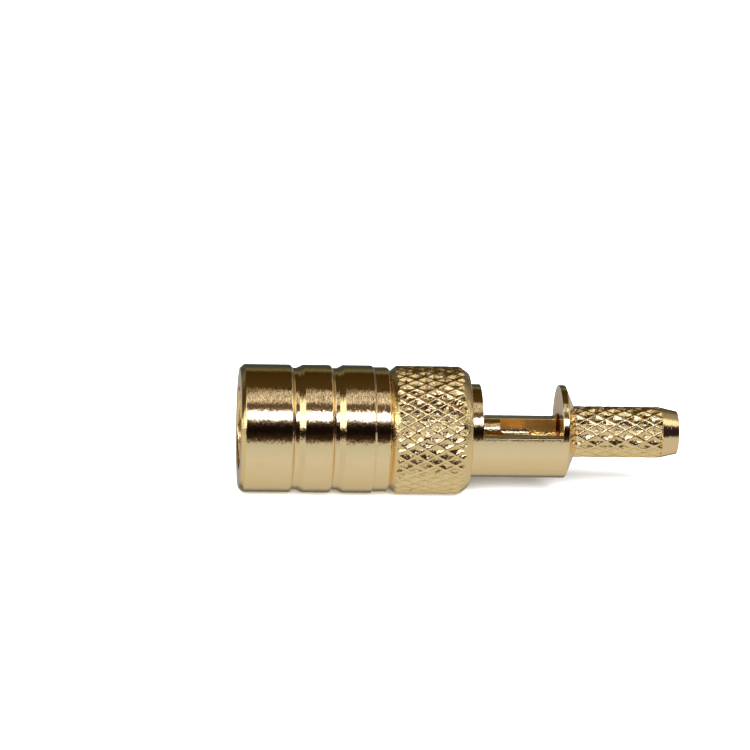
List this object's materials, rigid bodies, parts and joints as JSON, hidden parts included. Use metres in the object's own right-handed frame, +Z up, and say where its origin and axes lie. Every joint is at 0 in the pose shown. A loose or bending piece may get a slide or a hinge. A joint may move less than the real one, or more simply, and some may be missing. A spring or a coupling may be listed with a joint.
{
  "type": "coaxial push-on cable plug",
  "caption": "Straight push-on coaxial cable plug with a spring-loaded push-pull sleeve, knurled grip, open solder window and knurled crimp tail.",
  "frame": {"origin": "centre of the mating face, on the plug's axis", "axes": "+X along the axis from the mating face to the cable, +Z up through the open solder window"},
  "size_m": [0.0272, 0.0078, 0.0078],
  "materials": {
    "gold_plated_shell": "polished turned gold plate",
    "gold_plated_grip": "knurled gold plate",
    "gold_plated_collet": "polished gold plate",
    "gold_plated_body": "polished turned gold plate",
    "gold_plated_contact": "bright gold plate",
    "white_insulator": "satin fluoropolymer",
    "spring_steel": "drawn wire"
  },
  "bodies": {
    "plug_body": {"rear_body": "gold_plated_body", "slotted_collet": "gold_plated_collet", "front_insulator": "white_insulator", "rear_insulator": "white_insulator", "centre_contact": "gold_plated_contact", "lock_spring": "spring_steel"},
    "coupling_sleeve": {"front_shell": "gold_plated_shell", "knurled_sleeve": "gold_plated_grip"}
  },
  "joints": [
    {"name": "sleeve_slide", "type": "slide", "parent": "plug_body", "child": "coupling_sleeve", "axis": [1, 0, 0], "range_m": [0, 0.0012], "stiffness_N_per_m": 450, "springref_m": -0.0003, "deforming": ["lock_spring"]}
  ]
}
